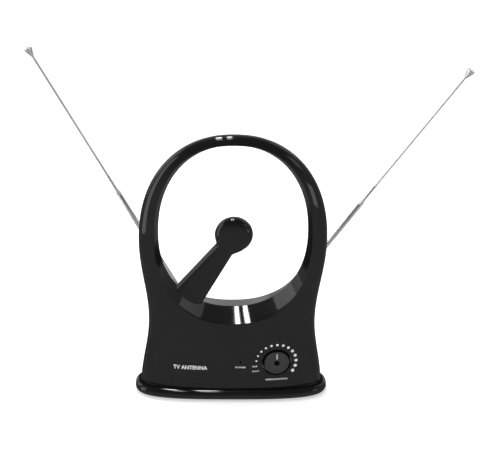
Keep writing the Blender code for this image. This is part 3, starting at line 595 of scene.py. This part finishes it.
# ---------------------------------------------------------------- gain control and print
def build_gain(m):
    """Stepped knob: a low outer skirt down in the well and a raised, slightly dished face; the skirt and a
    disc in the dimple carry painted shade.
    """
    skirt = [(0.01, 0.3), (2.8, 0.3), (2.8, -2.6), (5.0, -2.6), (5.0, -0.2), (11.2, -0.2), (11.6, -0.6),
             (11.6, -5.5), (KNOB_R - 0.2, -5.5), (KNOB_R, -5.3)]
    skirt += bend((KNOB_R, -3.5), (KNOB_R, -3.0), (KNOB_R - 0.5, -3.0), 4)
    skirt += bend((13.7, -3.0), (13.05, -3.0), (13.0, -2.4), 4)
    skirt += [(12.9, 0.5), (12.4, 0.6), (0.01, 0.6)]
    # the skirt down in the well wears the painted shade material, so it reads as shadow
    new_piece("gain_knob_skirt", [revolve(skirt, DIAL_ORIGIN, DIAL_AXIS, 96)], m["recess"], "gain_knob",
              origin=DIAL_ORIGIN)
    face = [(0.01, 0.7), (12.4, 0.7), (12.95, 0.8)]
    face += bend((12.95, 1.3), (12.9, 2.5), (11.9, 2.5), 8)
    face += bend((11.8, 2.5), (11.4, 2.48), (11.0, 2.3), 3)[1:]
    face += [(9.4, 2.05), (7.4, 1.9), (5.4, 1.85), (3.6, 1.9)]
    face += bend((3.2, 1.9), (2.4, 1.9), (2.1, 1.4), 5) + bend((1.9, 1.15), (1.2, 0.9), (0.01, 0.9), 4)
    obj = new_piece("gain_knob_cap", [revolve(face, DIAL_ORIGIN, DIAL_AXIS, 96)], m["knob"],
                    "gain_knob", ["gain_knob"], origin=DIAL_ORIGIN)
    turn = Matrix.Rotation(DIAL_YAW, 3, "Z")
    centre = Vector(DIAL_ORIGIN)

    def strip(half, low, high, start, end):
        """Round-ended strip pointing up from the knob's centre."""
        rings = []
        for height, shrink in ((low, 0.0), (high - 0.12, 0.0), (high, 0.12)):
            ring = []
            for i in range(24):
                t = 2 * math.pi * (i + 0.5) / 24
                x = (half - shrink) * math.cos(t)
                z = (end - half if math.sin(t) > 0 else start + half) + (half - shrink) * math.sin(t)
                ring.append(tuple(turn @ Vector((x, -height, z)) + centre))
            rings.append(ring)
        return rings_to_solid(rings)

    # painted shade: a near-black disc sitting in the knob's centre dimple
    dimple_shade = [(0.01, 1.0), (3.0, 1.0), (3.0, 1.96), (2.7, 1.98), (1.3, 1.25), (0.01, 1.15)]
    new_piece("knob_dimple_painted_shade", [revolve(dimple_shade, DIAL_ORIGIN, DIAL_AXIS, 48)], m["recess"],
              "gain_knob", origin=DIAL_ORIGIN)
    apply_boolean(obj, "DIFFERENCE", [strip(0.85, 1.55, 4.0, 4.7, 11.7)])
    # the pointer line takes the dimmer copy of the print white, which is painted shade
    new_piece("pointer_line", [strip(0.75, 1.57, 2.4, 4.8, 11.6)], m["faded"], "gain_knob",
              ["gain_pointer"], origin=DIAL_ORIGIN)


def build_print(m):
    """Printed marks: dots round the dial and small captions, laid on the curved face."""
    marks = []
    for i in range(DOT_COUNT):
        angle = math.radians(-118 + 17.15 * i)
        cx, cz = DOT_SHIFT + DOT_RING * math.sin(angle), DOT_RING * math.cos(angle)
        radius = 0.65 if i < 2 else 0.95 + 0.9 * ((i - 2) / 12) ** 0.8
        ring_low, ring_high = [], []
        for j in range(28):
            t = 2 * math.pi * j / 28
            place = dial_point(0.0, cx + radius * math.cos(t), cz + radius * math.sin(t))
            ring_low.append(face_point(place.x, place.z, -0.05))
            ring_high.append(face_point(place.x, place.z, 0.04))
        marks.append(rings_to_solid([ring_low, ring_high]))
    new_piece("dial_dots", marks, m["print"])
    for name, words, x, z, size, width in (
            ("mark_name", "TV ANTENNA", -60.9, 36.6, 6.4, 35.5),
            ("mark_power", "POWER", 3.9, 38.8, 2.8, 11.0),
            ("mark_on", "ON", 21.4, 39.9, 2.4, 4.6), ("mark_off", "OFF", 21.4, 33.9, 2.4, 5.6),
            ("mark_gain", "AMPLIFICATION", 35.4, 23.4, 2.9, 23.4)):
        bold = 0.19 if name == "mark_name" else 0.04
        lay_text(name, words, x, z, size, width, m["print"], bold)


def lay_text(name, words, x, z, size, width, mat, bold):
    """Flat lettering laid on the front face, fitted to a width."""
    curve = bpy.data.curves.new(name, "FONT")
    curve.body, curve.size, curve.extrude, curve.offset = words, size, 0.045, bold
    curve.resolution_u = 3
    text = bpy.data.objects.new(name + "_text", curve)
    bpy.context.scene.collection.objects.link(text)
    graph = bpy.context.evaluated_depsgraph_get()
    mesh = bpy.data.meshes.new_from_object(text.evaluated_get(graph))
    bpy.data.objects.remove(text, do_unlink=True)
    xs = [v.co.x for v in mesh.vertices]
    scale = width / (max(xs) - min(xs))
    left = min(xs)
    for v in mesh.vertices:
        px, pz = x + (v.co.x - left) * scale, z + v.co.y
        v.co = Vector(face_point(px, pz, v.co.z)) * MM
    mesh.materials.clear()
    mesh.materials.append(mat)
    work = bmesh.new()
    work.from_mesh(mesh)
    bmesh.ops.remove_doubles(work, verts=work.verts, dist=1e-7)
    bmesh.ops.recalc_face_normals(work, faces=work.faces)
    work.to_mesh(mesh)
    work.free()
    obj = bpy.data.objects.new(name, mesh)
    bpy.context.scene.collection.objects.link(obj)
    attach(obj, BODY)


# ---------------------------------------------------------------- rods
def build_rod(side_name, m):
    side = -1 if side_name == "left" else 1
    splay = SPLAY[side_name]
    pivot = Vector((side * PIVOT_X, PIVOT_Y, PIVOT_Z))
    along = Vector((math.sin(splay), 0.0, math.cos(splay)))
    for i, (outer, inner, start, end) in TUBES.items():
        body = "rod_" + side_name if i == 1 else "section_%d_%s" % (i, side_name)
        crimp = 0.4 if i == 1 else 0.2
        profile = [(inner, start), (outer - 0.15, start), (outer, start + 0.2), (outer, end - 2.6)]
        profile += bend((outer, end - 2.6), (outer - crimp, end - 2.2), (outer - crimp, end - 1.8), 3)[1:]
        profile += bend((outer - crimp, end - 1.6), (outer - crimp, end - 1.2), (outer, end - 0.9), 3)
        profile += bend((outer, end - 0.35), (outer, end), (inner + 0.12, end), 4) + [(inner, end)]
        new_piece("rod_section_%d_%s" % (i, side_name), [revolve(profile, pivot, along, 40, closed=True)],
                  m["chrome"], body, ["rod_tube_%d_%s" % (i, side_name)], 40,
                  tuple(pivot))
    body = "section_4_" + side_name
    low, high = ROD_END, TIP_END
    profile = [(0.01, ROD_START), (1.0, ROD_START), (1.13, ROD_START + 0.3), (1.13, low), (0.01, low)]
    new_piece("rod_section_4_" + side_name, [revolve(profile, pivot, along, 32)], m["chrome"], body,
              ["rod_wire_" + side_name], 40, tuple(pivot))
    profile = [(0.01, low + 0.1), (0.9, low + 0.1)]
    profile += bend((1.3, low), (1.7, low), (1.85, low + 0.5), 3)
    profile += bend((1.85, low + 0.5), (2.2, low + 2.5), (3.1, low + 4.8), 5)[1:]
    profile += bend((3.1, low + 4.8), (4.0, low + 7.2), (4.0, high - 0.7), 5)[1:]
    profile += bend((4.0, high - 0.7), (3.95, high), (3.3, high), 4)[1:]
    profile += [(3.0, high - 0.3), (2.4, high - 0.5), (0.01, high - 0.55)]
    new_piece("rod_button_" + side_name, [revolve(profile, pivot, along, 48)], m["chrome"], body,
              ["rod_tip_" + side_name], 40, tuple(pivot))


# ---------------------------------------------------------------- the rest of the CAD nodes
NODE_FINISH = {
    "satin": ["dc_jack", "swivel_left", "swivel_right"],
    "rubber": ["base_pad"],
    "steel": ["ballast_plate"],
    "zinc": ["ballast_screw_1", "ballast_screw_2", "bottom_screw_1", "bottom_screw_2", "bottom_screw_3",
             "bottom_screw_4", "shell_screw_1", "shell_screw_2", "shell_screw_3", "shell_screw_4",
             "arm_screw", "pcb_screw_1", "pcb_screw_2", "gain_pot_nut", "gain_shaft",
             "swivel_washer_left", "swivel_washer_right", "swivel_screw_left", "swivel_screw_right",
             "hinge_pin_left", "hinge_pin_right"],
    "copper": ["uhf_loop", "arm_element"],
    "board": ["main_pcb"],
    "tin": ["rf_shield_can", "gain_pot"],
    "lead": ["gain_ribbon", "loop_lead_left", "loop_lead_right", "rod_lead_left", "rod_lead_right"],
    "lens": ["power_led", "power_light_pipe"],
    "brass": ["rod_knuckle_left", "rod_knuckle_right"],
    "chrome": ["f_connector", "f_connector_nut"],
}


def finish_nodes(m):
    for finish, names in NODE_FINISH.items():
        for name in names:
            obj = frame["nodes"][name]
            if not obj.material_slots:
                obj.data.materials.append(m[finish])
            for slot in obj.material_slots:
                slot.material = m[finish]


# ---------------------------------------------------------------- stage, light and camera
def add_area(name, place, aim, size, power):
    light = bpy.data.lights.new(name, "AREA")
    light.shape = "RECTANGLE"
    light.size, light.size_y = size
    light.energy = power
    obj = bpy.data.objects.new(name, light)
    obj.location = place
    obj.rotation_euler = (Vector(aim) - Vector(place)).to_track_quat("-Z", "Y").to_euler()
    bpy.context.scene.collection.objects.link(obj)
    return obj


def studio_world():
    """Soft surroundings: a bright backdrop low down behind, dim room above and in front."""
    world = bpy.data.worlds.new("studio")
    bpy.context.scene.world = world
    world.use_nodes = True
    tree = world.node_tree
    direction = tree.nodes.new("ShaderNodeTexCoord").outputs["Generated"]
    split = tree.nodes.new("ShaderNodeSeparateXYZ")
    tree.links.new(direction, split.inputs["Vector"])

    def spread(value, low, high):
        node = tree.nodes.new("ShaderNodeMapRange")
        node.interpolation_type = "SMOOTHSTEP"
        node.inputs["From Min"].default_value = low
        node.inputs["From Max"].default_value = high
        tree.links.new(value, node.inputs["Value"])
        return node.outputs["Result"]

    height = spread(split.outputs["Z"], -1.0, 1.0)
    height.node.interpolation_type = "LINEAR"
    front = ramp(tree, height, [(0.0, 0.36), (0.3, 0.42), (0.42, 0.38), (0.5, 0.30), (0.6, 0.16),
                                (0.75, 0.10), (1.0, 0.12)])
    back = ramp(tree, height, [(0.0, 0.22), (0.24, 0.18), (0.32, 0.34), (0.43, 0.38), (0.5, 0.85),
                               (0.56, 0.95), (0.80, 0.75), (0.88, 0.34), (1.0, 0.34)])
    mix = tree.nodes.new("ShaderNodeMix")
    mix.data_type = "RGBA"
    tree.links.new(spread(split.outputs["Y"], -0.15, 0.35), mix.inputs["Factor"])
    tree.links.new(front, mix.inputs[6])
    tree.links.new(back, mix.inputs[7])
    light = mix.outputs[2]
    side = tree.nodes.new("ShaderNodeMath")
    side.operation = "ABSOLUTE"
    tree.links.new(split.outputs["X"], side.inputs[0])
    sides = tree.nodes.new("ShaderNodeMix")
    sides.data_type = "RGBA"
    sides.inputs[7].default_value = (0.32, 0.32, 0.32, 1.0)
    tree.links.new(spread(side.outputs["Value"], 0.62, 0.86), sides.inputs["Factor"])
    tree.links.new(light, sides.inputs[6])
    light = sides.outputs[2]
    for place, near, far in (((0.72, 0.60, -0.35), 0.10, 0.24), ((-0.70, 0.61, -0.37), 0.20, 0.34)):
        gap = tree.nodes.new("ShaderNodeVectorMath")
        gap.operation = "DISTANCE"
        gap.inputs[1].default_value = place
        tree.links.new(direction, gap.inputs[0])
        dim = tree.nodes.new("ShaderNodeMix")
        dim.data_type = "RGBA"
        dim.inputs[6].default_value = (0.02, 0.02, 0.02, 1.0)
        tree.links.new(spread(gap.outputs["Value"], near, far), dim.inputs["Factor"])
        tree.links.new(light, dim.inputs[7])
        light = dim.outputs[2]
    tree.links.new(light, tree.nodes["Background"].inputs["Color"])


def clear_reflections():
    """Let the gloss black show the lamps and the room, not the ring's own far side."""
    for obj in bpy.context.scene.objects:
        if obj.type == "MESH" and obj.name not in ("plinth", "gain_knob_cap", "gain_knob_skirt"):
            obj.visible_glossy = False


def build_stage():
    mesh = bpy.data.meshes.new("floor")
    mesh.from_pydata([(-5, -5, 0), (5, -5, 0), (5, 5, 0), (-5, 5, 0)], [], [(0, 1, 2, 3)])
    floor = bpy.data.objects.new("floor", mesh)
    bpy.context.scene.collection.objects.link(floor)
    mat, tree, shader = shader_material("pale_floor", roughness=0.9)
    vector = coords(tree)
    tree.links.new(ramp(tree, noise(tree, vector, 3.0), [(0.3, 0.93), (0.7, 0.95)]),
                   shader.inputs["Base Color"])
    shader.inputs["Emission Color"].default_value = (1.0, 1.0, 1.0, 1.0)
    shader.inputs["Emission Strength"].default_value = 0.55
    mesh.materials.append(mat)
    floor.visible_glossy = False
    studio_world()
    # two long strips overhead in near and far halves, soft walls at the sides, a small pair at right
    for x, width, far, near in ((-0.055, 0.085, 5.3, 1.6), (-0.275, 0.13, 8.2, 2.4)):
        add_area("strip_far", (x, 0.20, 1.65), (x, 0.20, 0.0), (width, 0.50), far)
        add_area("strip_near", (x, -0.46, 1.65), (x, -0.46, 0.0), (width, 0.82), near)
    add_area("soft_wall", (-1.25, 0.44, 0.82), (0, 0.1, 0.3), (0.62, 0.80), 2.6)
    add_area("soft_wall_low", (-1.25, 0.44, 0.26), (0, 0.1, 0.2), (0.62, 0.32), 0.40)
    add_area("side_wall", (-1.2, -0.52, 0.30), (0, -0.05, 0.25), (0.50, 1.35), 3.7)
    add_area("right_wall", (1.25, 0.34, 1.38), (0, 0.0, 0.2), (0.5, 1.0), 1.25)
    add_area("fill_high", (0.95, -0.66, 0.66), (0, 0, 0.2), (0.36, 0.30), 0.34)
    add_area("fill_low", (0.95, -0.74, 0.08), (0, 0, 0.2), (0.26, 0.26), 0.38)


def build_camera():
    """Camera at the photograph's angle: 2 degrees to the left, 27.7 degrees up, rolled 1.2 degrees."""
    azimuth, elevation, roll, distance = -2.0, 27.7, 1.2, 1.400
    aim = Vector((0.01744, 0.01909, 0.18663))
    a, e, r = (math.radians(v) for v in (azimuth, elevation, roll))
    back = Vector((math.sin(a) * math.cos(e), -math.cos(a) * math.cos(e), math.sin(e)))
    right = Vector((math.cos(a), math.sin(a), 0.0))
    up = back.cross(right)
    right, up = right * math.cos(r) + up * math.sin(r), up * math.cos(r) - right * math.sin(r)
    camera = bpy.data.cameras.new("camera")
    camera.lens, camera.sensor_width = 98.8, 36.0
    obj = bpy.data.objects.new("camera", camera)
    place = aim + back * distance
    obj.matrix_world = Matrix(((right.x, up.x, back.x, place.x), (right.y, up.y, back.y, place.y),
                               (right.z, up.z, back.z, place.z), (0, 0, 0, 1)))
    bpy.context.scene.collection.objects.link(obj)
    bpy.context.scene.camera = obj


def main():
    bpy.context.scene.view_settings.view_transform = "Standard"
    build_stage()
    build_camera()
    m = make_materials()
    build_shells(m)
    build_plinth(m)
    build_arm(m)
    build_gain(m)
    build_print(m)
    for name in ("left", "right"):
        build_rod(name, m)
    finish_nodes(m)
    clear_reflections()


main()
